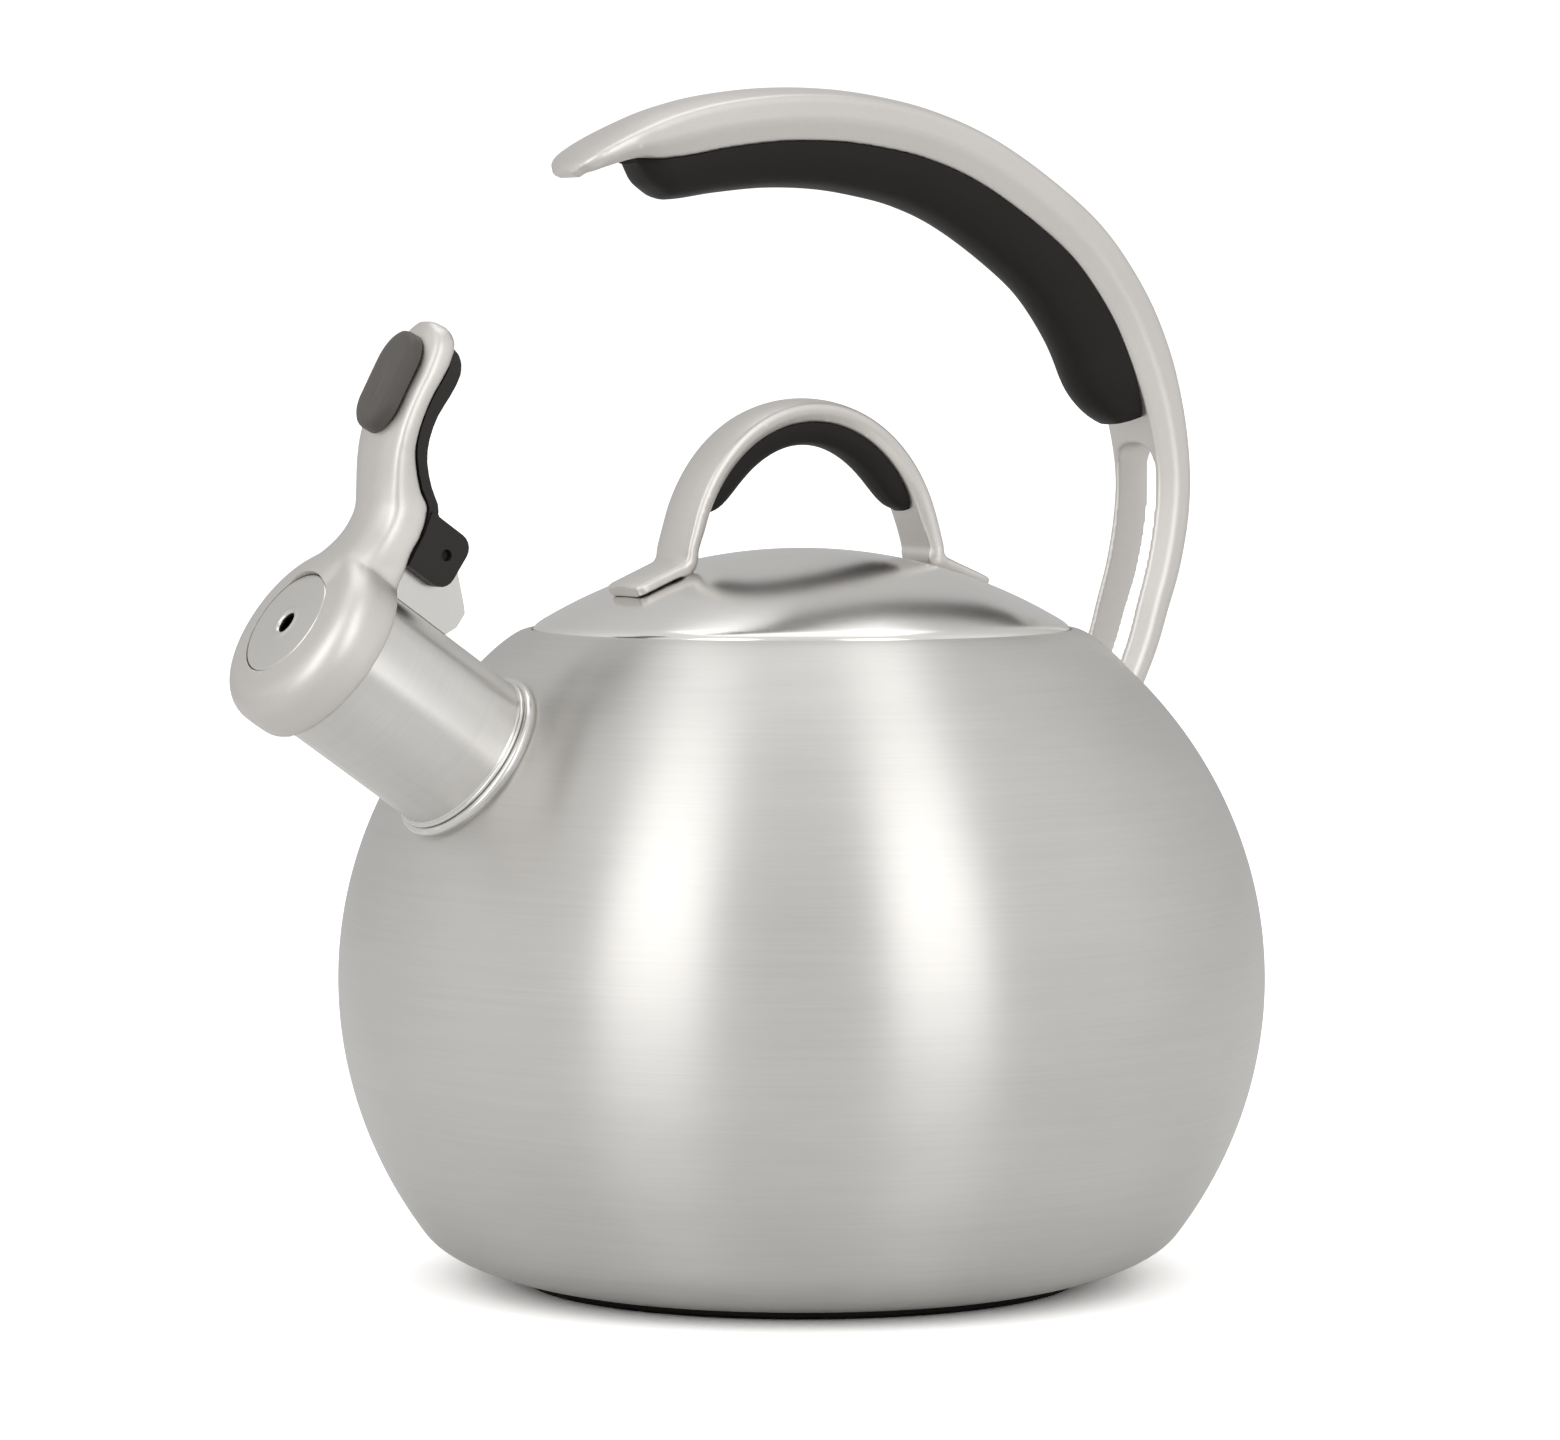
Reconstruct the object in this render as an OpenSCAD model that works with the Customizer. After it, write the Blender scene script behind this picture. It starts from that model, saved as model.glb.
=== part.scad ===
// Stovetop whistling kettle: near-spherical steel vessel with a lift-off lid, a straight
// spout closed by a sprung whistle lever, and a cast hook handle with a rubber grip.
// Origin: centre of the flat base, on the vessel axis. +Z up, spout towards -X, handle
// towards +X. Millimetres.

/* [Vessel] */
// Largest outside diameter of the vessel
body_diameter = 210; // [180:1:230]
// Height of the widest ring above the table
waist_z = 68.6; // [60:0.1:80]
// Half height of the elliptical vessel profile
profile_half_height = 98.8; // [90:0.1:105]
// Sheet thickness of the vessel
wall = 0.9; // [0.6:0.1:1.5]
// Radius of the lid seam
seam_radius = 60.9; // [58:0.1:64]
// Height of the vessel's edge at the lid seam
seam_z = 147.7; // [146:0.1:149]
// Radius where the rounded bottom corner meets the base
foot_radius = 65.5; // [62:0.1:70]
// Depth of the vessel neck below the lid seat
neck_depth = 8; // [5:0.5:12]

/* [Base] */
// Radius of the base plate
base_radius = 63.6; // [58:0.1:64]
// Thickness of the steel base plate
base_plate = 0.8; // [0.5:0.1:1.5]
// Thickness of the aluminium heat spreader
core_thickness = 3.6; // [2:0.1:5]

/* [Spout] */
// Rise of the spout above the horizontal
spout_angle = 34.4; // [25:0.1:45]
// Distance of the mouth centre in front of the vessel axis
mouth_x = 121.3; // [115:0.1:125]
// Height of the mouth centre
mouth_z = 144.8; // [140:0.1:150]
// Outside radius of the spout tube
tube_radius = 18.5; // [15:0.1:21]
// Sheet thickness of the spout tube
tube_wall = 0.8; // [0.6:0.1:1.2]
// Distance of the collar bead behind the mouth
collar_back = 40.7; // [38:0.1:43]

/* [Whistle] */
// Outside radius of the whistle cap
cap_radius = 21.7; // [18:0.1:23]
// Length of the cap in front of the mouth
cap_length = 13.5; // [11:0.1:16]
// Radius of the front disc
disc_radius = 12.3; // [10:0.1:14]
// Radius of the whistle hole
whistle_hole = 2.4; // [1.5:0.1:3.5]
// Width of the lever arm
arm_width = 19; // [14:0.5:22]
// Hinge pin position behind the mouth plane
pin_back = 7; // [5:0.1:10]
// Hinge pin height above the spout axis
pin_height = 30.9; // [27:0.1:35]
// Radius of the hinge pin
pin_radius = 1.25; // [1:0.05:2]

/* [Lid] */
// Height of the top of the lid dome
lid_top_z = 165.9; // [160:0.1:170]
// Half span of the loop over the lid
loop_half_span = 35.4; // [30:0.1:38]
// Height of the top of the loop
loop_top_z = 199.8; // [195:0.1:204]
// Width of the loop strap
loop_width = 14.4; // [12:0.1:18]

/* [Handle] */
// Width of the cast handle
handle_width = 22; // [18:0.5:26]
// Half width of the slot between the two lower rails
slot_half_width = 7.4; // [5:0.1:8]
// Height of the top of the slot
slot_top_z = 188.8; // [180:0.1:195]

/* [Part selection] */
// Which node to draw

/* [Hidden] */

$fn = 96;
eps = 0.05;          // hairline between parts that touch
run_gap = 0.3;       // gap between parts that move past each other
half_d = body_diameter / 2;
floor_z = base_plate + core_thickness + 0.1;
ring_z = 1.9;        // underside of the rolled edge round the base
corner_z = 12;       // where the bottom corner curve starts
seat_drop = 1.7;     // lid seat below the vessel's top edge
neck_radius = seam_radius - 3.9;

steel = [0.80, 0.79, 0.77];
polished = [0.86, 0.85, 0.84];
cast_steel = [0.74, 0.73, 0.71];
aluminium = [0.78, 0.79, 0.80];
rubber = [0.10, 0.09, 0.085];
pad_grey = [0.27, 0.26, 0.25];
seal_grey = [0.55, 0.54, 0.52];

// ---------------------------------------------------------------- curve helpers

// Radius of the vessel surface at height z, grown outwards by g.
function body_r(z, g = 0) =
  (half_d + g) * sqrt(max(0, 1 - pow((z - waist_z) / (profile_half_height + g), 2)));
// Height of the upper vessel surface at radius r, grown outwards by g.
function body_z(r, g = 0) =
  waist_z + (profile_half_height + g) * sqrt(max(0, 1 - pow(r / (half_d + g), 2)));
// Angle parameter of the profile at height z.
function body_t(z, g = 0) = asin((z - waist_z) / (profile_half_height + g));
// Points of the vessel profile between two heights.
function body_arc(z0, z1, steps, g = 0) = [
  for (i = [0 : steps])
    let (t = body_t(z0, g) + (body_t(z1, g) - body_t(z0, g)) * i / steps)
    [(half_d + g) * cos(t), waist_z + (profile_half_height + g) * sin(t)]
];
// Quadratic curve from a to c that leaves and arrives towards b.
function bend(a, b, c, steps) = [
  for (i = [0 : steps])
    let (u = i / steps) (1 - u) * (1 - u) * a + 2 * u * (1 - u) * b + u * u * c
];
// Points along an arc round c from angle a0 to a1.
function arc(c, r, a0, a1, steps) = [
  for (i = [0 : steps]) let (a = a0 + (a1 - a0) * i / steps) c + r * [cos(a), sin(a)]
];
function reversed(list) = [for (i = [len(list) - 1 : -1 : 0]) list[i]];
// Smooth curve through the points of list, with steps points to each span.
function spline_at(p0, p1, p2, p3, u) =
  0.5 * (2 * p1 + (p2 - p0) * u + (2 * p0 - 5 * p1 + 4 * p2 - p3) * u * u
         + (3 * p1 - p0 - 3 * p2 + p3) * u * u * u);
function spline(list, steps) = [
  for (i = [0 : len(list) - 2])
    for (j = [0 : steps - (i < len(list) - 2 ? 1 : 0)])
      spline_at(list[max(i - 1, 0)], list[i], list[i + 1],
                list[min(i + 2, len(list) - 1)], j / steps)
];
function unit(v) = v / norm(v);
// Direction of travel at point i of a path.
function heading(path, i) = unit(path[min(i + 1, len(path) - 1)] - path[max(i - 1, 0)]);

// Closed skin through rings of equal length, with flat ends.
module skin(rings) {
  m = len(rings[0]);
  last = len(rings) - 1;
  points = [for (ring = rings) for (p = ring) p];
  sides = [
    for (i = [0 : last - 1]) for (j = [0 : m - 1])
      let (k = (j + 1) % m, a = i * m, b = (i + 1) * m)
      each [[a + j, a + k, b + k], [a + j, b + k, b + j]]
  ];
  ends = [[for (j = [m - 1 : -1 : 0]) j], [for (j = [0 : m - 1]) last * m + j]];
  polyhedron(points = points, faces = concat(sides, ends), convexity = 10);
}

// Strap that follows stations [x, z, thickness, half width] with its outer face on them.
// Sections are given as [share of half width, depth] by section(half width, thickness).
module strap(stations, section) {
  path = [for (s = stations) [s[0], s[1]]];
  skin([
    for (i = [0 : len(stations) - 1])
      let (t = heading(path, i), inward = [t[1], -t[0]], s = stations[i])
      [for (q = section(s[3], s[2]))
        [s[0] + inward[0] * q[1], q[0], s[1] + inward[1] * q[1]]]
  ]);
}

// Metal strap section: crowned outer face, side bands, inner faces bevelled in.
function metal_section(w, t) =
  let (crown = 0.16 * t, rim = min(1.2, 0.3 * t), band = max(0.62 * t, crown + rim + 0.1),
       inset = min(2.4, 0.5 * (t - band) + 0.8, max(0.4, t - 3))) [
    [-w, crown + rim], [-w + 0.4 * rim, crown + 0.4 * rim], [-w + rim, crown],
    [-0.45 * w, 0.2 * crown], [0, 0], [0.45 * w, 0.2 * crown],
    [w - rim, crown], [w - 0.4 * rim, crown + 0.4 * rim], [w, crown + rim],
    [w, band], [w - inset, t], [-w + inset, t], [-w, band]
  ];
// Rubber section that hangs under the metal from depth t0, t deep.
function grip_section(w, t) = [
  for (a = [0 : 22.5 : 180]) [-w * cos(a), (t - 0.25 * t) * sin(a) + 0.25 * t],
  [w, 0], [-w, 0]
];

// Local frame of the spout: x across, z outwards from the mouth centre.
module at_mouth() {
  translate([-mouth_x, 0, mouth_z]) rotate([0, spout_angle - 90, 0]) children();
}
spout_out = [-cos(spout_angle), sin(spout_angle)];
spout_up = [sin(spout_angle), cos(spout_angle)];
// World [x, z] of a point m in front of the mouth and n above the spout axis.
function from_mouth(m, n) = [-mouth_x, mouth_z] + m * spout_out + n * spout_up;
pin = from_mouth(-pin_back, pin_height);

// Plate with an [x, z] outline and a given y range.
module slab(outline, y0, y1) {
  translate([0, y1, 0]) rotate([90, 0, 0]) linear_extrude(y1 - y0) polygon(outline);
}
// Cylinder along y.
module bar(at, r, y0, y1) {
  translate([at[0], y1, at[1]]) rotate([90, 0, 0]) cylinder(r = r, h = y1 - y0);
}
// Vessel solid grown by g, used to trim what meets it.
module body_blank(g = 0) {
  rotate_extrude() polygon(concat([[0, waist_z - 55]], body_arc(waist_z - 55, waist_z + 76, 30, g),
                                  [[0, waist_z + 76]]));
}

// ---------------------------------------------------------------- vessel

seat_z = seam_z - seat_drop;
// Elliptical profile with a slightly fuller shoulder that flattens towards the seam.
module shell_profile() {
  top_r = seam_radius + 0.3;
  outer = concat(
    [[0, floor_z], [foot_radius - 1.3, floor_z], [foot_radius - 1.3, ring_z]],
    reversed(bend([body_r(corner_z), corner_z], [body_r(corner_z) - 5, ring_z + 3.4],
                  [foot_radius, ring_z], 8)),
    body_arc(corner_z, body_z(78), 28),
    spline([for (s = [[76, 0], [74.5, 0], [72, 0.3], [69, 0.5], [66, 0.45], [63.6, 0.05]])
              [s[0], body_z(s[0]) + s[1]]], 1),
    [[top_r, seam_z]]);
  seat = [
    [top_r, seat_z], [neck_radius, seat_z], [neck_radius, seat_z - neck_depth],
    [neck_radius + wall, seat_z - neck_depth], [neck_radius + wall, seat_z - wall]
  ];
  inner_top_r = top_r + 0.5 * wall;
  inner = concat(
    [[inner_top_r, seat_z - wall]],
    reversed(body_arc(corner_z + 1, body_z(inner_top_r + 1.5, -wall), 28, -wall)),
    bend([body_r(corner_z + 1, -wall), corner_z + 1], [foot_radius + 12, floor_z + wall],
         [foot_radius, floor_z + wall], 6),
    [[0, floor_z + wall]]);
  polygon(concat(outer, seat, inner));
}
module kettle_shell() {
  color(steel) difference() {
    rotate_extrude($fn = 128) shell_profile();
    at_mouth() translate([0, 0, -70]) cylinder(r = tube_radius - tube_wall, h = 70);
  }
}
module base_core() {
  color(aluminium) translate([0, 0, base_plate + eps])
    cylinder(r = base_radius - 1.2, h = core_thickness);
}
module base_cap() {
  color(polished) rotate_extrude($fn = 128) polygon([
    [0, 0], [base_radius - 1, 0], [base_radius, 1], [base_radius, floor_z - 0.1],
    [base_radius - 1, floor_z - 0.1], [base_radius - 1, base_plate], [0, base_plate]
  ]);
}

// ---------------------------------------------------------------- spout

module spout_tube() {
  color(steel) difference() {
    at_mouth() translate([0, 0, -62]) difference() {
      cylinder(r = tube_radius, h = 62);
      translate([0, 0, -1]) cylinder(r = tube_radius - tube_wall, h = 64);
    }
    body_blank(eps);
  }
}
module spout_collar() {
  bead = 1.15;
  lip = 0.5;
  color(polished) difference() {
    at_mouth() translate([0, 0, -collar_back]) rotate_extrude() polygon(concat(
      [[tube_radius + eps, -4], [tube_radius + bead, -4]],
      arc([tube_radius + 0.8, 0], bead, -60, 130, 10),
      arc([tube_radius + 0.3, 1.6], lip, -60, 90, 4),
      [[tube_radius + eps, 2.4]]));
    body_blank(eps);
  }
}

// ---------------------------------------------------------------- hinge bracket and pin

metal_ear_in = 5.2;
metal_ear_out = 6.6;
black_ear_in = metal_ear_out + run_gap;
black_ear_out = 0.5 * arm_width;
ear_hole = pin_radius + 0.06;
module hinge_bracket() {
  ear = [
    from_mouth(-1.5, 17.4), from_mouth(-1.5, 24.5), from_mouth(-3.2, 31.5),
    from_mouth(-5.2, 34), from_mouth(-8.6, 34), from_mouth(-11.2, 31.8),
    from_mouth(-18.4, 25), from_mouth(-19.4, 23.8), from_mouth(-19.4, 20.2),
    from_mouth(-17.9, 17.4)
  ];
  color(polished) difference() {
    union() {
      for (side = [-1, 1])
        slab(ear, side > 0 ? metal_ear_in : -metal_ear_out,
             side > 0 ? metal_ear_out : -metal_ear_in);
      // bridge that lies on the tube between the ears
      slab([from_mouth(-1.5, 19.5), from_mouth(-1.5, 20.7), from_mouth(-17.6, 20.7),
            from_mouth(-17.6, 19.5)], -metal_ear_out, metal_ear_out);
      // weld pad between the bridge and the tube
      slab([from_mouth(-4, 17), from_mouth(-4, 19.6), from_mouth(-15, 19.6),
            from_mouth(-15, 17)], -4, 4);
    }
    at_mouth() translate([0, 0, -30]) cylinder(r = tube_radius + eps, h = 32);
    bar(pin, pin_radius + 0.01, -20, 20);
  }
}
module hinge_pin() {
  color(polished) bar(pin, pin_radius, -black_ear_out + 1.6, black_ear_out - 1.6);
}
// Torsion spring wound round the pin, with two short straight legs.
wire = 0.45;
module hinge_spring() {
  coil_r = pin_radius + 0.3 + wire;
  turns = 5;
  per_turn = 12;
  half_len = 3.9;
  leg = 4.2;
  start = 205;
  steps = turns * per_turn;
  function coil_a(i) = start + 360 * turns * i / steps + 40 * i / steps;
  coil = [for (i = [0 : steps]) let (a = coil_a(i))
    [[cos(a), sin(a)], -half_len + 2 * half_len * i / steps]];
  path = concat(
    [let (a = coil_a(0)) [[cos(a), sin(a)] * coil_r - leg * [-sin(a), cos(a)],
                          -half_len, [cos(a), sin(a)]]],
    [for (c = coil) [c[0] * coil_r, c[1], c[0]]],
    [let (a = coil_a(steps)) [[cos(a), sin(a)] * coil_r + leg * [-sin(a), cos(a)],
                              half_len, [cos(a), sin(a)]]]);
  color(steel) skin([
    for (p = path)
      [for (k = [0 : 60 : 300])
        [pin[0] + p[0][0] + p[2][0] * wire * cos(k), p[1] + wire * sin(k),
         pin[1] + p[0][1] + p[2][1] * wire * cos(k)]]
  ]);
}

// ---------------------------------------------------------------- main handle

// Outer face of the handle: x, z, thickness, half width.
hw = handle_width / 2;
handle_line = [
  [-63.6, 249.6, 3.2, 4.5], [-62.2, 252.2, 4, 7.6], [-58.8, 254.9, 4.9, 9.8],
  [-52, 258.7, 6.7, hw], [-45.5, 261.9, 9.9, hw], [-38, 264.7, 11.6, hw],
  [-27, 267.4, 12.2, hw], [-12, 269.3, 12.3, hw], [3, 269.6, 12.3, hw],
  [17, 268.4, 12.3, hw], [32, 265.5, 12.2, hw], [47.7, 259.9, 12.2, hw],
  [64.8, 250.2, 12.2, hw], [79, 239.4, 12.2, hw], [90.5, 225.3, 12.2, hw],
  [97.7, 211.4, 12.1, hw], [101.8, 197.2, 10.9, hw], [103.6, 183.2, 9.9, hw],
  [103.2, 171.6, 9.8, hw], [100.7, 159.4, 9.5, hw], [97.1, 149.2, 9, hw],
  [94.1, 140.9, 8.6, hw], [90, 132.4, 8.2, hw], [84.2, 122.6, 7.6, hw]
];
slot_low_z = 136.5;
module handle() {
  color(cast_steel) difference() {
    strap(spline(handle_line, 3), function (w, t) metal_section(w, t));
    // slot between the two rails, rounded at the top
    translate([60, -slot_half_width, slot_low_z])
      cube([60, 2 * slot_half_width, slot_top_z - slot_low_z - slot_half_width]);
    translate([60, 0, slot_top_z - slot_half_width]) rotate([0, 90, 0])
      cylinder(r = slot_half_width, h = 60);
    body_blank(bracket_gap);
    for (s = screw_spots) foot_screw_axis(s) translate([0, 0, -8]) cylinder(r = 1.8, h = 30);
    for (s = screw_spots) foot_screw_axis(s)
      translate([0, 0, head_seat]) cylinder(r = 2.8, h = 12);
  }
}
// Rubber grip: its top follows the underside of the metal.
grip_half_width = 8.5;
module handle_grip() {
  full = spline(handle_line, 3);
  first = 10;
  last = 48;
  path = [for (s = full) [s[0], s[1]]];
  stations = [
    for (i = [first : last])
      let (t = heading(path, i), inward = [t[1], -t[0]], s = full[i],
           a = (i - first) / (last - first),
           lead = max(0.14, sin(90 * min(1, a / 0.1))),
           tail = sqrt(1 - 0.78 * pow(max(0, (a - 0.9) / 0.1), 2)),
           lobe = min(lead, tail), depth = (9.2 + 4.4 * a) * lobe)
      [s[0] + inward[0] * (s[2] + eps), s[1] + inward[1] * (s[2] + eps), depth,
       grip_half_width * (0.4 + 0.6 * lobe)]
  ];
  color(rubber) strap(stations, function (w, t) grip_section(w, t));
}
// Saddle plate between the vessel shoulder and the handle foot.
bracket_gap = 2.3;
module handle_bracket() {
  color(polished) intersection() {
    difference() {
      body_blank(bracket_gap - eps);
      body_blank(eps);
      for (s = screw_spots) foot_screw_axis(s) translate([0, 0, -8]) cylinder(r = 1.8, h = 30);
    }
    translate([60, -9.5, 121]) cube([60, 19, 18]);
  }
}
// Screws run level through the foot into the saddle plate, at these y offsets.
screw_spots = [-4.6, 4.6];
foot_z = 131.5;
head_seat = 7.4;     // underside of the screw heads, from the vessel surface
module foot_screw_axis(y) {
  translate([body_r(foot_z), y, foot_z]) rotate([0, 90, 0]) children();
}
module handle_screws() {
  color(polished) difference() {
    union() for (s = screw_spots) foot_screw_axis(s) {
      translate([0, 0, 2]) cylinder(r = 1.7, h = head_seat - 1.9);
      translate([0, 0, head_seat + 0.05]) cylinder(r = 2.6, h = 1.5);
    }
    for (s = screw_spots) foot_screw_axis(s) translate([0, 0, head_seat + 1.2])
      cube([0.9, 4, 2], center = true);
  }
}

// ---------------------------------------------------------------- lid

lid_edge_z = seam_z + 0.8;
dome_rise = lid_top_z - lid_edge_z;
dome_r = (pow(seam_radius - 0.2, 2) + pow(dome_rise, 2)) / (2 * dome_rise);
dome_c = lid_top_z - dome_r;
lid_wall = 0.8;
function dome_z(r, g = 0) = dome_c + sqrt(pow(dome_r + g, 2) - r * r);
loop_bolt_x = 41.5;
module lid_dome() {
  edge = seam_radius - 0.2;
  outer = concat([for (i = [0 : 14]) let (r = (edge - 2) * i / 14) [r, dome_z(r)]],
                 bend([edge - 2, dome_z(edge - 2)], [edge, dome_z(edge)],
                      [edge, lid_edge_z - 0.9], 4));
  color(polished) difference() {
    rotate_extrude($fn = 128) polygon(concat(
      outer, [[edge, seat_z + run_gap], [edge - lid_wall, seat_z + run_gap]],
      [for (i = [14 : -1 : 0]) let (r = (edge - lid_wall - 0.4) * i / 14)
        [r, dome_z(r, -lid_wall)]]));
    for (side = [-1, 1]) translate([side * loop_bolt_x, 0, 140]) cylinder(r = 2.1, h = 30);
  }
}
module lid_skirt() {
  skirt_r = neck_radius - 0.4;
  rim_r = seam_radius - 0.2 - lid_wall - eps;
  low = seat_z + run_gap;
  color(steel) rotate_extrude($fn = 128) polygon([
    [skirt_r - 0.8, low - 6.6], [skirt_r, low - 6.2], [skirt_r, low], [rim_r, low],
    [rim_r - 0.2, low + 0.6], [skirt_r - 0.8, low + 0.6]
  ]);
}
// Outer face of the loop: feet turned outwards, then an elliptical arch.
loop_w = loop_width / 2;
arch_c = 160.2;
arch_h = loop_top_z - arch_c;
function foot_point(side, x, rise, t, w) = [side * x, dome_z(x) + rise, t, w];
function loop_foot(side) = [
  foot_point(side, 48.5, 3.38, 3.05, loop_w - 2.3), foot_point(side, 48.2, 3.4, 3.05, loop_w - 1.2),
  foot_point(side, 47.4, 3.4, 3.05, loop_w - 0.4), foot_point(side, 46.2, 3.4, 3.05, loop_w),
  foot_point(side, 41.5, 3.4, 3.1, loop_w), foot_point(side, 37.6, 3.6, 3.3, loop_w),
  foot_point(side, 35.8, 4.2, 4.9, loop_w), foot_point(side, 35.2, 6.4, 4.2, loop_w)
];
function arch_point(a, t) = [-loop_half_span * cos(a), arch_c + arch_h * sin(a), t, loop_w];
loop_line = concat(
  loop_foot(-1),
  [for (a = [16 : 8 : 164]) arch_point(a, 4.6 + 0.8 * sin(a))],
  reversed(loop_foot(1)));
module lid_handle() {
  color(cast_steel) difference() {
    strap(loop_line, function (w, t) metal_section(w, t));
    for (side = [-1, 1]) translate([side * loop_bolt_x, 0, 140])
      cylinder(r = 1.52, h = dome_z(loop_bolt_x) - 140 + 2.4);
  }
}
module lid_grip() {
  a0 = 24;
  steps = 18;
  stations = [
    for (i = [0 : steps])
      let (a = a0 + (180 - 2 * a0) * i / steps, t = 4.7 + 0.8 * sin(a), u = 2 * i / steps - 1,
           lobe = sqrt(max(0.15, 1 - pow(abs(u), 8))),
           nx = -cos(a) / loop_half_span, nz = sin(a) / arch_h, nl = norm([nx, nz]))
      [-loop_half_span * cos(a) - t * nx / nl, arch_c + arch_h * sin(a) - t * nz / nl,
       5.4 * lobe, (loop_w - 2.2) * (0.4 + 0.6 * lobe)]
  ];
  color(rubber) strap(stations, function (w, t) grip_section(w, t));
}
// Screws come up through the lid into the loop's feet.
module lid_screws() {
  top = dome_z(loop_bolt_x) + 2.2;
  head = dome_z(loop_bolt_x, -lid_wall) - 3.2;
  color(polished) difference() {
    union() for (side = [-1, 1]) translate([side * loop_bolt_x, 0, 0]) {
      translate([0, 0, head]) cylinder(r = 1.5, h = top - head);
      translate([0, 0, head - 1.8]) cylinder(r = 3.2, h = 1.8);
    }
    for (side = [-1, 1]) translate([side * loop_bolt_x, 0, head - 1.8]) {
      cube([5, 0.9, 1.6], center = true);
      cube([0.9, 5, 1.6], center = true);
    }
  }
}
module lid_washers() {
  z = dome_z(loop_bolt_x, -lid_wall) - 3.15;
  color(steel) for (side = [-1, 1]) translate([side * loop_bolt_x, 0, z]) difference() {
    cylinder(r = 4, h = 0.8);
    translate([0, 0, -1]) cylinder(r = 1.7, h = 3);
  }
}

// ---------------------------------------------------------------- whistle lever

cap_back = 0.4;
cavity_r = 17.4;
chamber_r = 15;
cavity_end = 5.4;
chamber_end = cap_length - 2.4;
// Lever arm from the top down: front x, z, back x, z, half width.
arm_line = [
  [-98.2, 216.9, -96.6, 216.9, 2.6], [-99.9, 214.9, -94.8, 214.8, 6.3],
  [-101.3, 211.9, -94.7, 211.4, 8.5], [-103.9, 206.8, -97.1, 206.3, 9.4],
  [-107.2, 200.9, -101, 200.6, 9.7], [-110.2, 194.2, -104.2, 193.6, 9.7],
  [-111.8, 187.4, -105.1, 187.8, 9.4], [-112.7, 180.4, -103.8, 180.6, 9.2],
  [-113.5, 175.9, -102.1, 176.5, 9.4], [-116.3, 171.4, -104, 170.9, 10],
  [-120.4, 167.6, -107.3, 166.7, 11.2], [-125.4, 164.4, -109.6, 163, 12.8],
  [-128.4, 160.4, -112.2, 158.8, 13.4]
];
// Arm section between a front and a back point: crowned front, straight sides.
function arm_ring(s) =
  let (f = [s[0], s[1]], b = [s[2], s[3]], w = s[4])
  [for (q = [[1, 0.9], [1, 0.36], [0.9, 0.2], [0.5, 0.06], [0, 0], [-0.5, 0.06], [-0.9, 0.2],
             [-1, 0.36], [-1, 0.9], [-0.93, 1], [0.93, 1]])
    let (p = f + (b - f) * q[1]) [p[0], q[0] * w, p[1]]];
module cap_profile() {
  round_r = 5.6;
  polygon(concat(
    [[0, cap_back], [cap_radius - 0.3, cap_back], [cap_radius, cap_back + 2.6]],
    arc([cap_radius - round_r, cap_length - 0.5 - round_r], round_r, 0, 82, 10),
    [[disc_radius + 0.2, cap_length], [0, cap_length]]));
}
module whistle_cap() {
  color(cast_steel) difference() {
    union() {
      at_mouth() rotate_extrude() cap_profile();
      skin([for (s = spline(arm_line, 2)) arm_ring(s)]);
    }
    at_mouth() {
      translate([0, 0, -30]) cylinder(r = cap_radius + 5, h = 30 + cap_back);
      translate([0, 0, -1]) cylinder(r = cavity_r, h = cavity_end + 1);
      translate([0, 0, 1]) cylinder(r = chamber_r, h = chamber_end - 1);
      translate([0, 0, 1]) cylinder(r = 9.8, h = cap_length);
      translate([0, 0, cap_length - 1.1]) cylinder(r = disc_radius + 0.1, h = 3);
    }
    for (z = lever_screw_z) lever_screw_axis(z) cylinder(r = 1.32, h = 6.5);
  }
}
module whistle_disc() {
  color(polished) at_mouth() rotate_extrude() polygon([
    [whistle_hole, cap_length - 1.05], [disc_radius, cap_length - 1.05],
    [disc_radius, cap_length - 0.25], [disc_radius - 0.35, cap_length + 0.05],
    [whistle_hole + 0.9, cap_length + 0.05], [whistle_hole, cap_length - 0.35]
  ]);
}
module whistle_back_plate() {
  color(steel) at_mouth() difference() {
    translate([0, 0, cavity_end + 0.05]) cylinder(r = chamber_r - 0.1, h = 0.8);
    translate([0, 0, 1]) cylinder(r = whistle_hole, h = 10);
  }
}
module whistle_chamber() {
  color(steel) at_mouth() difference() {
    translate([0, 0, cavity_end + 0.9]) cylinder(r = chamber_r - 0.1, h = chamber_end - cavity_end - 0.95);
    translate([0, 0, 1]) cylinder(r = chamber_r - 1.2, h = 20);
  }
}
// Tapered seal that plugs the mouth when the lever is closed.
module spout_seal() {
  color(seal_grey) at_mouth() rotate_extrude() polygon([
    [11, -3.2], [15, -3.2], [16.6, -1.4], [17.1, cap_back - 0.1], [cavity_r - 0.1, cap_back + 0.2],
    [cavity_r - 0.1, cavity_end - 0.05], [11, cavity_end - 0.05]
  ]);
}
strip_gap = 0.35;
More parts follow.
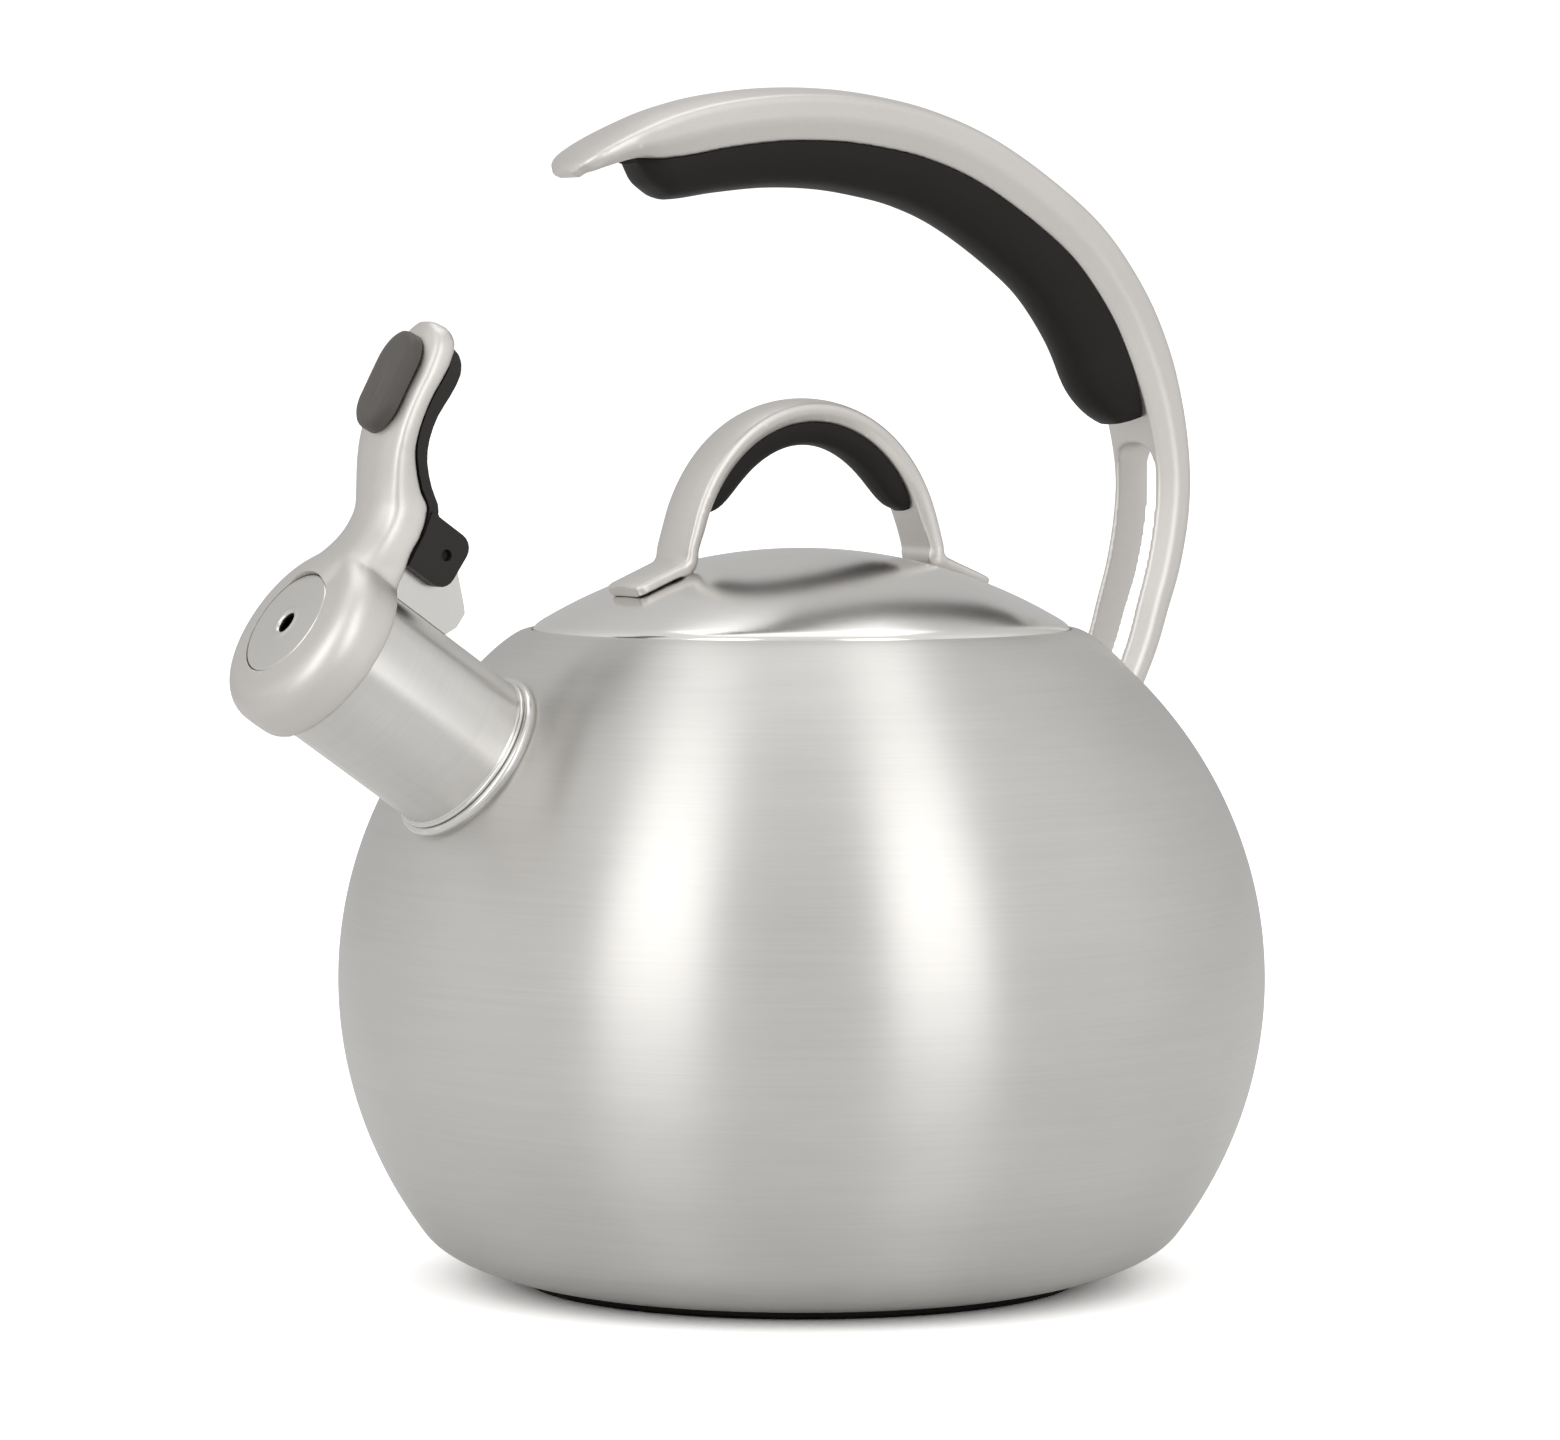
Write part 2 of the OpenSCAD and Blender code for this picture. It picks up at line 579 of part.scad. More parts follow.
// Outer face of the strip from the top down.
strip_outer = [
  [-94.2, 212.4], [-93.1, 209.4], [-93.9, 205.2], [-96.6, 200.6], [-99.6, 196.4],
  [-101.7, 191.4], [-102.3, 186.4], [-101.2, 181], [-99.7, 177.4], [-99.6, 175.2]
];
module lever_backing() {
  inner = [for (i = [len(arm_line) - 4 : -1 : 2]) [arm_line[i][2] + strip_gap, arm_line[i][3]]];
  strip = concat(spline(strip_outer, 2), [from_mouth(-1.8, 36.8), from_mouth(-0.3, 31.5)],
                 spline(inner, 2));
  ear = concat(
    [from_mouth(-0.4, 23.9), from_mouth(0.1, 31.8), from_mouth(1.1, 36.8)],
    arc_at(-8, 33.4, 3.4, 90, 180, 5), arc_at(-7.8, 27.5, 3.6, 180, 264, 5));
  strip_w = 0.5 * arm_width - 0.8;
  color(rubber) difference() {
    union() {
      intersection() {
        slab(strip, -strip_w, strip_w);
        strip_front_outline(strip_w);
      }
      for (side = [-1, 1])
        slab(ear, side > 0 ? black_ear_in : -black_ear_out,
             side > 0 ? black_ear_out : -black_ear_in);
    }
    bar(pin, ear_hole, -20, 20);
    for (z = lever_screw_z) lever_screw_axis(z) translate([0, 0, -9]) {
      cylinder(r = 1.4, h = 15);
      cylinder(r = 2.3, h = 9);
    }
  }
}
// Front view of the strip: parallel sides and a round top.
module strip_front_outline(w) {
  rotate([90, 0, -90]) translate([0, 0, 85]) linear_extrude(30) polygon(concat(
    [[-w, 160]], reversed(arc([0, 212.6 - w], w, 0, 180, 12)), [[w, 160]]));
}
// Arc in mouth coordinates [m, n], given in world [x, z].
function arc_at(m, n, r, a0, a1, steps) = [
  for (i = [0 : steps]) let (a = a0 + (a1 - a0) * i / steps)
    from_mouth(m + r * cos(a), n + r * sin(a))
];
// Two screws hold the strip to the arm from behind.
lever_screw_z = [184, 201];
module lever_screw_axis(z) {
  low = z < 190;
  translate([low ? -102 : -96.4, 0, z]) rotate([0, low ? -90 : -62, 0]) children();
}
module lever_screws() {
  color(polished) difference() {
    for (z = lever_screw_z) lever_screw_axis(z) {
      cylinder(r = 1.25, h = 6.4);
      translate([0, 0, -0.9]) cylinder(r = 2.2, h = 0.9);
    }
    for (z = lever_screw_z) lever_screw_axis(z) translate([0, 0, -0.9])
      cube([3.2, 0.6, 0.8], center = true);
  }
}
// Oval pad that stands on the front face near the top.
pad_low = 199.5;
pad_high = 213.9;
pad_r = 6.8;
pad_rise = [-2.8, 1.4];
module thumb_pad() {
  face = [for (s = spline(arm_line, 2)) if (s[1] > 180 && s[1] < 216) [s[0] - 0.05, s[1]]];
  color(pad_grey) intersection() {
    slab(concat(face, reversed([for (p = face) p + pad_rise])), -8, 8);
    rotate([90, 0, -90]) translate([0, 0, 85]) linear_extrude(40)
      polygon(concat(arc([0, pad_high - pad_r], pad_r, 0, 180, 12),
                     arc([0, pad_low], pad_r, 180, 360, 12)));
  }
}

// ---------------------------------------------------------------- output

kettle_shell();
base_core();
base_cap();
spout_tube();
spout_collar();
hinge_bracket();
hinge_pin();
hinge_spring();
handle();
handle_grip();
handle_bracket();
handle_screws();
lid_dome();
lid_skirt();
lid_handle();
lid_grip();
lid_screws();
lid_washers();
whistle_cap();
whistle_disc();
whistle_back_plate();
whistle_chamber();
spout_seal();
lever_backing();
thumb_pad();
lever_screws();
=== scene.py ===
"""Stovetop whistling kettle: the looks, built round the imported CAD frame.

Metres, same frame as the CAD: origin at the centre of the base, +Z up, spout to -X.
"""

import math

import bmesh
import bpy
from mathutils import Matrix, Vector


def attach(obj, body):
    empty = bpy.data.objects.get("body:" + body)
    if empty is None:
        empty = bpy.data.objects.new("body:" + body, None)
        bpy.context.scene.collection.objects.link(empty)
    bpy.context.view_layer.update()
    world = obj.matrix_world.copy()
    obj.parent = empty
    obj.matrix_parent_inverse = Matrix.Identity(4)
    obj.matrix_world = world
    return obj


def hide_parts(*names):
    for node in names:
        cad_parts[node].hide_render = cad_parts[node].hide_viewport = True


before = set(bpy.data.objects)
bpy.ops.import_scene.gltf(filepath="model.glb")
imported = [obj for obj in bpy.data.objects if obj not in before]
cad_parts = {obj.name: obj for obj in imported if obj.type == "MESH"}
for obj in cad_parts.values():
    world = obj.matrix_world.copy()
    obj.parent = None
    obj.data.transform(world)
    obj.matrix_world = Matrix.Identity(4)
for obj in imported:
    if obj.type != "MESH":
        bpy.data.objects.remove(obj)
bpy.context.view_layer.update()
MM = 0.001

# ------------------------------------------------------------------ sizes, in millimetres

BODY_R = 105.0          # widest radius of the vessel
WAIST_Z = 68.6          # height of the widest ring
HALF_H = 98.8           # half height of the elliptical profile
WALL = 0.9
SEAM_R = 60.9
SEAM_Z = 147.7          # height of the vessel's edge at the lid
FOOT_R = 65.5
FLOOR_Z = 4.5
RING_Z = 1.9
CORNER_Z = 12.0
SEAT_DROP = 1.7
NECK_DEPTH = 8.0
SPOUT_ANGLE = math.radians(34.4)
MOUTH = (-121.3, 144.8)
TUBE_R = 18.5
TUBE_WALL = 0.8
COLLAR_BACK = 40.7
CAP_R = 21.7
CAP_LEN = 13.5
DISC_R = 12.3
HOLE_R = 2.4
LID_TOP_Z = 165.9
LID_WALL = 0.8
LOOP_SPAN = 35.4
LOOP_TOP_Z = 199.8
LOOP_W = 7.2            # half width of the loop strap
ARCH_Z = 160.2
SLOT_HALF = 7.4
SLOT_TOP_Z = 188.8
RUN_GAP = 0.3
VIEW_AZIMUTH = math.radians(-33.1)
FLOOR_LIFT = 2.2        # how much lighter the camera sees the floor than the metal does


# ------------------------------------------------------------------ curves

def lerp(a, b, t):
    return a + (b - a) * t


def spline(points, steps):
    """Smooth curve through points of any dimension, steps points to each span."""
    out = []
    last = len(points) - 1
    for i in range(last):
        p0 = points[max(i - 1, 0)]
        p1 = points[i]
        p2 = points[i + 1]
        p3 = points[min(i + 2, last)]
        for j in range(steps + (1 if i == last - 1 else 0)):
            u = j / steps
            out.append(tuple(
                0.5 * (2 * b + (c - a) * u + (2 * a - 5 * b + 4 * c - d) * u * u
                       + (3 * b - a - 3 * c + d) * u * u * u)
                for a, b, c, d in zip(p0, p1, p2, p3)))
    return out


def rounded(points, radius, steps, closed=True):
    """Polyline with each corner replaced by a small curve; radius may be a list."""
    n = len(points)
    out = []
    for i, p in enumerate(points):
        r = radius[i] if isinstance(radius, (list, tuple)) else radius
        if r <= 0 or (not closed and i in (0, n - 1)):
            out.append(tuple(p))
            continue
        p = Vector(p)
        a = Vector(points[i - 1]) - p
        b = Vector(points[(i + 1) % n]) - p
        cut = min(r, 0.48 * a.length, 0.48 * b.length)
        start = p + a.normalized() * cut
        end = p + b.normalized() * cut
        for k in range(steps + 1):
            t = k / steps
            q = start * (1 - t) ** 2 + p * 2 * t * (1 - t) + end * t * t
            out.append(tuple(q))
    return out


def arc(cx, cy, r, a0, a1, steps):
    return [(cx + r * math.cos(math.radians(lerp(a0, a1, i / steps))),
             cy + r * math.sin(math.radians(lerp(a0, a1, i / steps))))
            for i in range(steps + 1)]


def body_r(z, g=0.0):
    return (BODY_R + g) * math.sqrt(max(0.0, 1 - ((z - WAIST_Z) / (HALF_H + g)) ** 2))


def body_z(r, g=0.0):
    return WAIST_Z + (HALF_H + g) * math.sqrt(max(0.0, 1 - (r / (BODY_R + g)) ** 2))


def body_arc(z0, z1, steps, g=0.0):
    t0 = math.asin((z0 - WAIST_Z) / (HALF_H + g))
    t1 = math.asin((z1 - WAIST_Z) / (HALF_H + g))
    return [((BODY_R + g) * math.cos(lerp(t0, t1, i / steps)),
             WAIST_Z + (HALF_H + g) * math.sin(lerp(t0, t1, i / steps)))
            for i in range(steps + 1)]


LID_EDGE_Z = SEAM_Z + 0.8
DOME_RISE = LID_TOP_Z - LID_EDGE_Z
DOME_R = ((SEAM_R - 0.2) ** 2 + DOME_RISE ** 2) / (2 * DOME_RISE)
DOME_C = LID_TOP_Z - DOME_R
SEAT_Z = SEAM_Z - SEAT_DROP
NECK_R = SEAM_R - 3.9


def dome_z(r, g=0.0):
    return DOME_C + math.sqrt((DOME_R + g) ** 2 - r * r)


SPOUT_OUT = (-math.cos(SPOUT_ANGLE), math.sin(SPOUT_ANGLE))
SPOUT_UP = (math.sin(SPOUT_ANGLE), math.cos(SPOUT_ANGLE))
# local z out of the mouth, local y across, local x down
MOUTH_FRAME = Matrix((
    (-SPOUT_UP[0], 0.0, SPOUT_OUT[0], MOUTH[0] * MM),
    (0.0, 1.0, 0.0, 0.0),
    (-SPOUT_UP[1], 0.0, SPOUT_OUT[1], MOUTH[1] * MM),
    (0.0, 0.0, 0.0, 1.0)))


# ------------------------------------------------------------------ mesh helpers

def new_object(name, verts, faces, sharp=32.0):
    """Smooth shaded object from points in millimetres."""
    mesh = bpy.data.meshes.new(name)
    mesh.from_pydata([(x * MM, y * MM, z * MM) for x, y, z in verts], [], faces)
    mesh.validate()
    obj = bpy.data.objects.new(name, mesh)
    bpy.context.scene.collection.objects.link(obj)
    tidy(obj, sharp)
    return obj


def tidy(obj, sharp=32.0):
    """Outward normals, smooth shading, and sharp edges above an angle."""
    bm = bmesh.new()
    bm.from_mesh(obj.data)
    bmesh.ops.remove_doubles(bm, verts=bm.verts, dist=1e-7)
    bmesh.ops.recalc_face_normals(bm, faces=bm.faces)
    bm.to_mesh(obj.data)
    bm.free()
    for poly in obj.data.polygons:
        poly.use_smooth = True
    obj.data.set_sharp_from_angle(angle=math.radians(sharp))


def lathe(name, profile, segments=192, sharp=32.0):
    """Closed [r, z] outline turned about the local z axis."""
    verts = []
    rows = []
    for r, z in profile:
        if r < 1e-4:
            rows.append([len(verts)])
            verts.append((0.0, 0.0, z))
        else:
            first = len(verts)
            for k in range(segments):
                a = 2 * math.pi * k / segments
                verts.append((r * math.cos(a), r * math.sin(a), z))
            rows.append(list(range(first, first + segments)))
    faces = []
    for i in range(len(rows)):
        a = rows[i]
        b = rows[(i + 1) % len(rows)]
        if len(a) == 1 and len(b) == 1:
            continue
        for k in range(segments):
            n = (k + 1) % segments
            quad = [a[k % len(a)], a[n % len(a)], b[n % len(b)], b[k % len(b)]]
            face = []
            for v in quad:
                if v not in face:
                    face.append(v)
            if len(face) > 2:
                faces.append(face)
    return new_object(name, verts, faces, sharp)


def skin(name, rings, sharp=32.0, caps=True):
    """Tube of quads through closed rings of equal length, with fanned ends."""
    m = len(rings[0])
    verts = [p for ring in rings for p in ring]
    faces = []
    for i in range(len(rings) - 1):
        for j in range(m):
            k = (j + 1) % m
            faces.append((i * m + j, i * m + k, (i + 1) * m + k, (i + 1) * m + j))
    if caps:
        for base in (0, (len(rings) - 1) * m):
            ring = verts[base:base + m]
            centre = tuple(sum(p[i] for p in ring) / m for i in range(3))
            verts.append(centre)
            c = len(verts) - 1
            for j in range(m):
                faces.append((base + j, base + (j + 1) % m, c))
    return new_object(name, verts, faces, sharp)


def strap_rings(stations, section):
    """Rings across stations (x, z, thickness, half width), outer face on the path."""
    rings = []
    n = len(stations)
    for i, (x, z, t, w) in enumerate(stations):
        a = stations[max(i - 1, 0)]
        b = stations[min(i + 1, n - 1)]
        tx, tz = b[0] - a[0], b[1] - a[1]
        length = math.hypot(tx, tz)
        inx, inz = tz / length, -tx / length
        rings.append([(x + inx * d, y, z + inz * d) for y, d in section(w, t, i)])
    return rings


def apply_modifiers(obj):
    graph = bpy.context.evaluated_depsgraph_get()
    graph.update()
    mesh = bpy.data.meshes.new_from_object(obj.evaluated_get(graph))
    obj.modifiers.clear()
    old = obj.data
    obj.data = mesh
    bpy.data.meshes.remove(old)


def combine(obj, others, operation):
    """Exact boolean of obj with each of others, which are then removed."""
    for other in others:
        mod = obj.modifiers.new("boolean", "BOOLEAN")
        mod.operation = operation
        mod.solver = "EXACT"
        mod.object = other
        apply_modifiers(obj)
        bpy.data.objects.remove(other, do_unlink=True)
    return obj


def remesh(obj, voxel, smooth_factor=0.5, repeats=6):
    """Even quads over the whole surface, with casting-like soft edges."""
    mod = obj.modifiers.new("remesh", "REMESH")
    mod.mode = "VOXEL"
    mod.voxel_size = voxel * MM
    mod.adaptivity = 0.0
    if repeats:
        mod = obj.modifiers.new("soften", "SMOOTH")
        mod.factor = smooth_factor
        mod.iterations = repeats
    apply_modifiers(obj)
    for poly in obj.data.polygons:
        poly.use_smooth = True
    return obj


def place(obj, matrix):
    obj.matrix_world = matrix
    return obj


def finish_piece(obj, body, material, replaces=()):
    obj.data.materials.clear()
    obj.data.materials.append(material)
    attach(obj, body)
    if replaces:
        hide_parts(*replaces)
    return obj


# ------------------------------------------------------------------ materials

class Nodes:
    """Small helper that adds and links shader nodes."""

    def __init__(self, name):
        self.material = bpy.data.materials.new(name)
        self.material.use_nodes = True
        self.tree = self.material.node_tree
        self.shader = self.tree.nodes["Principled BSDF"]

    def add(self, kind, inputs=None, **settings):
        node = self.tree.nodes.new(kind)
        for key, value in settings.items():
            setattr(node, key, value)
        for key, value in (inputs or {}).items():
            if isinstance(value, bpy.types.NodeSocket):
                self.tree.links.new(value, node.inputs[key])
            else:
                node.inputs[key].default_value = value
        return node

    def link(self, source, socket):
        self.tree.links.new(source, self.shader.inputs[socket])

    def math(self, operation, a, b=0.0):
        return self.add("ShaderNodeMath", {0: a, 1: b}, operation=operation).outputs[0]

    def spread(self, value, low, high):
        """Map 0..1 to low..high."""
        node = self.add("ShaderNodeMapRange", {"Value": value, "To Min": low, "To Max": high})
        return node.outputs[0]

    def colour_between(self, factor, a, b):
        node = self.add("ShaderNodeMix", data_type="RGBA")
        self.tree.links.new(factor, node.inputs[0])
        node.inputs[6].default_value = (*a, 1.0)
        node.inputs[7].default_value = (*b, 1.0)
        return node.outputs[2]


def object_point(nodes):
    return nodes.add("ShaderNodeTexCoord").outputs["Object"]


def stretched_noise(nodes, vector, scale, detail=3.0, roughness=0.6):
    mapping = nodes.add("ShaderNodeMapping", {"Vector": vector, "Scale": scale})
    noise = nodes.add("ShaderNodeTexNoise",
                      {"Vector": mapping.outputs[0], "Scale": 1.0, "Detail": detail,
                       "Roughness": roughness})
    return noise.outputs["Fac"]


def ring_coordinates(nodes):
    """Vector whose z is the distance from the local z axis, x and y the direction."""
    point = object_point(nodes)
    flat = nodes.add("ShaderNodeVectorMath", {0: point, 1: (1.0, 1.0, 0.0)},
                     operation="MULTIPLY").outputs[0]
    length = nodes.add("ShaderNodeVectorMath", {0: flat}, operation="LENGTH").outputs["Value"]
    unit = nodes.add("ShaderNodeVectorMath", {0: flat}, operation="NORMALIZE").outputs[0]
    parts = nodes.add("ShaderNodeSeparateXYZ", {0: unit})
    return nodes.add("ShaderNodeCombineXYZ", {0: parts.outputs[0], 1: parts.outputs[1],
                                              2: length}).outputs[0]


def steel(name, colour, dark, roughness, grain, brushed_scale, bump, anisotropy=0.0,
          tangent=None, rings=False, edge_highlight=0.06, mottle=(22.0, 22.0, 22.0)):
    """Steel with brush lines, slow colour change and a painted highlight: base colour lifted
    towards white on convex edges.
    """
    n = Nodes(name)
    vector = ring_coordinates(n) if rings else object_point(n)
    lines = stretched_noise(n, vector, brushed_scale, 4.0, 0.7)
    fine = stretched_noise(n, vector, tuple(2.7 * s for s in brushed_scale), 2.0, 0.6)
    cloud = stretched_noise(n, object_point(n), mottle, 3.0, 0.5)
    mixed = n.math("MULTIPLY", n.math("ADD", lines, fine), 0.5)
    base = n.colour_between(n.math("MULTIPLY", n.math("ADD", mixed, cloud), 0.5), dark, colour)
    # Painted highlight: convex edges, found by pointiness, get their base colour lifted towards
    # white.
    point = n.add("ShaderNodeNewGeometry").outputs["Pointiness"]
    edge = n.add("ShaderNodeMapRange", {"Value": point, "From Min": 0.52, "From Max": 0.62,
                                        "To Min": 0.0, "To Max": edge_highlight}).outputs[0]
    bright = n.add("ShaderNodeMix", data_type="RGBA", blend_type="ADD")
    n.tree.links.new(edge, bright.inputs[0])
    n.tree.links.new(base, bright.inputs[6])
    bright.inputs[7].default_value = (1.0, 0.99, 0.97, 1.0)
    n.link(bright.outputs[2], "Base Color")
    low, high = roughness
    n.link(n.spread(n.math("MULTIPLY", n.math("ADD", fine, cloud), 0.5), low, high), "Roughness")
    relief = n.add("ShaderNodeBump", {"Height": mixed, "Strength": bump, "Distance": grain})
    n.link(relief.outputs[0], "Normal")
    n.shader.inputs["Metallic"].default_value = 1.0
    n.shader.inputs["Anisotropic"].default_value = anisotropy
    if tangent:
        n.shader.inputs["Anisotropic Rotation"].default_value = 0.25
        direction = n.add("ShaderNodeTangent", direction_type="RADIAL", axis=tangent)
        n.link(direction.outputs[0], "Tangent")
    return n.material


def moulded(name, colour, dark, roughness, grain_scale=1400.0, bump=0.25, sheen=0.0,
            gloss=0.5):
    """Rubber or plastic with a fine moulded grain and faint scuffs."""
    n = Nodes(name)
    point = object_point(n)
    grain = stretched_noise(n, point, (grain_scale,) * 3, 2.0, 0.5)
    cloud = stretched_noise(n, point, (45.0, 45.0, 45.0), 4.0, 0.6)
    n.link(n.colour_between(cloud, dark, colour), "Base Color")
    n.link(n.spread(n.math("MULTIPLY", n.math("ADD", grain, cloud), 0.5), *roughness),
           "Roughness")
    relief = n.add("ShaderNodeBump", {"Height": grain, "Strength": bump, "Distance": 0.00008})
    n.link(relief.outputs[0], "Normal")
    n.shader.inputs["Sheen Weight"].default_value = sheen
    n.shader.inputs["Specular IOR Level"].default_value = gloss
    return n.material


BODY_STEEL = steel("body_steel", (0.80, 0.785, 0.76), (0.54, 0.53, 0.515), (0.32, 0.48),
                   0.00006, (14.0, 14.0, 1100.0), 0.14, 0.9, "Z", mottle=(17.0, 17.0, 48.0))
LID_STEEL = steel("lid_steel", (0.86, 0.85, 0.83), (0.70, 0.69, 0.67), (0.15, 0.23),
                  0.00003, (6.0, 6.0, 1300.0), 0.10, 0.5, "Z", rings=True)
TUBE_STEEL = steel("tube_steel", (0.78, 0.765, 0.74), (0.52, 0.51, 0.495), (0.26, 0.36),
                   0.00004, (30.0, 30.0, 1600.0), 0.10, 0.8, "Z", mottle=(150.0, 150.0, 12.0))
POLISHED = steel("polished_steel", (0.74, 0.73, 0.71), (0.67, 0.66, 0.64), (0.22, 0.30),
                 0.00002, (300.0, 300.0, 300.0), 0.02)
DISC_STEEL = steel("disc_steel", (0.74, 0.73, 0.71), (0.62, 0.61, 0.59), (0.20, 0.30),
                   0.00003, (3.0, 3.0, 1500.0), 0.10, 0.3, "Z", rings=True)
# The cast steel gets the strongest painted edge highlight on its convex edges.
CAST = steel("cast_steel", (0.74, 0.72, 0.695), (0.60, 0.58, 0.56), (0.38, 0.50),
             0.00006, (700.0, 700.0, 700.0), 0.16, edge_highlight=0.10)
ALUMINIUM = steel("rolled_aluminium", (0.80, 0.81, 0.82), (0.70, 0.71, 0.72), (0.30, 0.42),
                  0.00005, (900.0, 20.0, 20.0), 0.15)
SPRING = steel("spring_wire", (0.55, 0.55, 0.54), (0.42, 0.42, 0.41), (0.22, 0.34),
               0.00003, (800.0, 800.0, 800.0), 0.1)
RUBBER = moulded("black_rubber", (0.0125, 0.0105, 0.0090), (0.0080, 0.0067, 0.0058), (0.46, 0.62),
                 gloss=0.22)
PLASTIC = moulded("black_plastic", (0.022, 0.019, 0.017), (0.015, 0.013, 0.0115), (0.40, 0.55),
                  gloss=0.28)
PAD = moulded("grey_rubber", (0.082, 0.074, 0.067), (0.062, 0.056, 0.051), (0.40, 0.54),
              sheen=0.05, gloss=0.4)
# Painted shade: near-black steel put where there is only shade, on the base plate under the
# vessel, the hinge pin in its hole and the parts inside the whistle.
PAINTED_SHADE_STEEL = steel("painted_shade_steel", (0.030, 0.028, 0.026), (0.018, 0.017, 0.016), (0.50, 0.65),
                  0.00003, (700.0, 700.0, 700.0), 0.1, edge_highlight=0.02)
SILICONE = moulded("silicone", (0.34, 0.34, 0.33), (0.27, 0.27, 0.26), (0.30, 0.45), 600.0, 0.1)


# ------------------------------------------------------------------ vessel

def shell_outline():
    top = SEAM_R + 0.3
    lip = 0.45
    outer = [(0, FLOOR_Z), (FOOT_R - 1.3, FLOOR_Z), (FOOT_R - 1.3, RING_Z + 0.4),
             (FOOT_R - 0.9, RING_Z)]
    a = (body_r(CORNER_Z), CORNER_Z)
    b = (body_r(CORNER_Z) - 5.0, RING_Z + 3.4)
    c = (FOOT_R, RING_Z)
    for i in range(20, -1, -1):
        t = i / 20
        outer.append(tuple(a[k] * (1 - t) ** 2 + b[k] * 2 * t * (1 - t) + c[k] * t * t
                           for k in (0, 1)))
    outer += body_arc(CORNER_Z, body_z(78), 100)[1:]
    shoulder = [(76, 0.0), (74.5, 0.0), (72, 0.3), (69, 0.5), (66, 0.45), (63.6, 0.05)]
    edge = (top + lip, SEAM_Z + 0.12)
    outer += spline([(r, body_z(r) + rise) for r, rise in shoulder] + [edge], 4)
    seat = [(top + 0.12, SEAM_Z - 0.04), (top, SEAM_Z - 0.35), (top, SEAT_Z + 0.2),
            (top - 0.2, SEAT_Z), (NECK_R + 0.6, SEAT_Z), (NECK_R, SEAT_Z - 0.6),
            (NECK_R, SEAT_Z - NECK_DEPTH), (NECK_R + WALL, SEAT_Z - NECK_DEPTH),
            (NECK_R + WALL, SEAT_Z - WALL), (top + 0.5 * WALL, SEAT_Z - WALL)]
    inner_top = SEAT_Z - WALL - 0.6
    inner = body_arc(inner_top, CORNER_Z + 1, 60, -WALL)
    low = (body_r(CORNER_Z + 1, -WALL), CORNER_Z + 1)
    mid = (FOOT_R + 12, FLOOR_Z + WALL)
    end = (FOOT_R, FLOOR_Z + WALL)
    for i in range(1, 9):
        t = i / 8
        inner.append(tuple(low[k] * (1 - t) ** 2 + mid[k] * 2 * t * (1 - t) + end[k] * t * t
                           for k in (0, 1)))
    return outer + seat + inner + [(0, FLOOR_Z + WALL)]


def build_vessel():
    shell = lathe("kettle_body", shell_outline(), 256)
    bore = lathe("spout_bore", [(0, -70), (TUBE_R - TUBE_WALL, -70), (TUBE_R - TUBE_WALL, 5),
                                (0, 5)], 96)
    place(bore, MOUTH_FRAME)
    combine(shell, [bore], "DIFFERENCE")
    tidy(shell)
    finish_piece(shell, "kettle", BODY_STEEL, ["kettle_shell"])

    r = 63.6
    top = FLOOR_Z - 0.1
    plate = lathe("base_plate", rounded(
        [(0, 0), (r, 0), (r, top), (r - 1, top), (r - 1, 0.8), (0, 0.8)],
        [0, 1.0, 0.2, 0.2, 0.4, 0], 5), 192)
    # The base plate is near-black as painted shade, standing in for the contact shadow under the
    # vessel's edge.
    finish_piece(plate, "kettle", PAINTED_SHADE_STEEL, ["base_cap"])


# ------------------------------------------------------------------ spout

def body_tool(name, g, z0=10.0, z1=146.0):
    """Solid of the vessel's outline grown by g, for trimming what meets it."""
    return lathe(name, [(0, z0)] + body_arc(z0, z1, 80, g) + [(0, z1)], 256)


def build_spout():
    inner = TUBE_R - TUBE_WALL
    tube = lathe("spout_pipe", rounded(
        [(inner, -62), (TUBE_R, -62), (TUBE_R, 0), (inner, 0)], [0, 0, 0.3, 0.3], 3), 160)
    place(tube, MOUTH_FRAME)
    combine(tube, [body_tool("tube_trim", 0.02)], "DIFFERENCE")
    tidy(tube)
    finish_piece(tube, "kettle", TUBE_STEEL, ["spout_tube"])

    b = COLLAR_BACK
    profile = [(TUBE_R + 0.03, -4 - b), (TUBE_R + 1.0, -4 - b)]
    profile += [(x, y - b) for x, y in arc(TUBE_R + 0.78, 0.0, 1.15, -62, 128, 18)]
    profile += [(x, y - b) for x, y in arc(TUBE_R + 0.22, 1.62, 0.5, -40, 90, 8)]
    profile += [(TUBE_R + 0.03, 2.6 - b)]
    collar = lathe("spout_ring", profile, 160)
    place(collar, MOUTH_FRAME)
    combine(collar, [body_tool("collar_trim", 0.02)], "DIFFERENCE")
    tidy(collar)
    finish_piece(collar, "kettle", POLISHED, ["spout_collar"])


# ------------------------------------------------------------------ main handle

